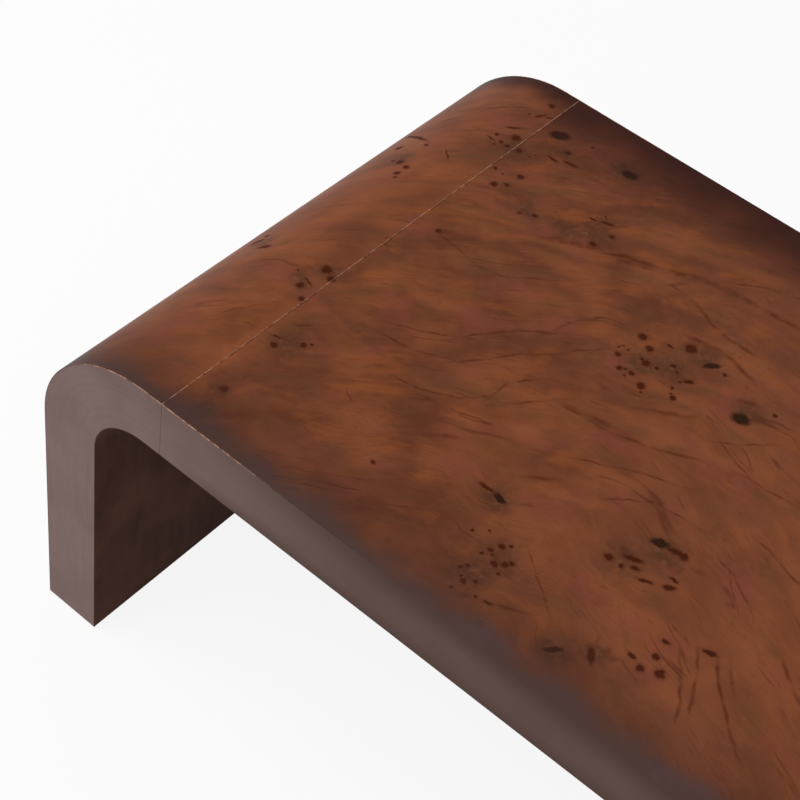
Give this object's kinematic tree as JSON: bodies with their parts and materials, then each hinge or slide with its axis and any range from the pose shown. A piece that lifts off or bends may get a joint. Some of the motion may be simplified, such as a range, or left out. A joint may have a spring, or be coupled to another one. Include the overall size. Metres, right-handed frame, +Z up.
{
  "type": "waterfall coffee table",
  "caption": "Low rectangular waterfall coffee table: a thick veneered burl top that curves down at both ends into full-depth slab legs, with open space beneath.",
  "frame": {"origin": "on the floor under the middle of the top", "axes": "+X along the table, +Y from front to back, +Z up"},
  "size_m": [1.2, 0.6, 0.406],
  "materials": {
    "burl_veneer": "satin lacquer over burl veneer",
    "plain_veneer": "satin dark stain",
    "edge_veneer": "satin toned lacquer",
    "flat_board": "raw board",
    "bending_board": "raw bending board",
    "frame_wood": "planed softwood",
    "dowel_wood": "turned hardwood",
    "zinc_steel": "zinc plated",
    "insert_brass": "turned",
    "glide_plastic": "moulded",
    "cap_plastic": "moulded"
  },
  "bodies": {
    "root": {"top_veneer": "burl_veneer", "left_outer_veneer": "burl_veneer", "right_outer_veneer": "burl_veneer", "top_underside_veneer": "plain_veneer", "left_inner_veneer": "plain_veneer", "right_inner_veneer": "plain_veneer", "top_front_edge_band": "edge_veneer", "top_back_edge_band": "edge_veneer", "left_front_edge_band": "edge_veneer", "left_back_edge_band": "edge_veneer", "right_front_edge_band": "edge_veneer", "right_back_edge_band": "edge_veneer", "top_upper_skin": "flat_board", "top_lower_skin": "flat_board", "left_outer_skin": "bending_board", "left_inner_skin": "bending_board", "right_outer_skin": "bending_board", "right_inner_skin": "bending_board", "top_front_stile": "frame_wood", "top_back_stile": "frame_wood", "top_left_end_rail": "frame_wood", "top_right_end_rail": "frame_wood", "top_cross_ribs": "frame_wood", "left_front_rib": "frame_wood", "left_back_rib": "frame_wood", "left_middle_ribs": "frame_wood", "left_head_rail": "frame_wood", "left_foot_rail": "frame_wood", "right_front_rib": "frame_wood", "right_back_rib": "frame_wood", "right_middle_ribs": "frame_wood", "right_head_rail": "frame_wood", "right_foot_rail": "frame_wood", "seam_dowels": "dowel_wood", "seam_studs": "zinc_steel", "half_moon_washers": "zinc_steel", "stud_nuts": "zinc_steel", "glide_screws": "zinc_steel", "stud_inserts": "insert_brass", "floor_glides": "glide_plastic", "pocket_caps": "cap_plastic"}
  },
  "joints": []
}
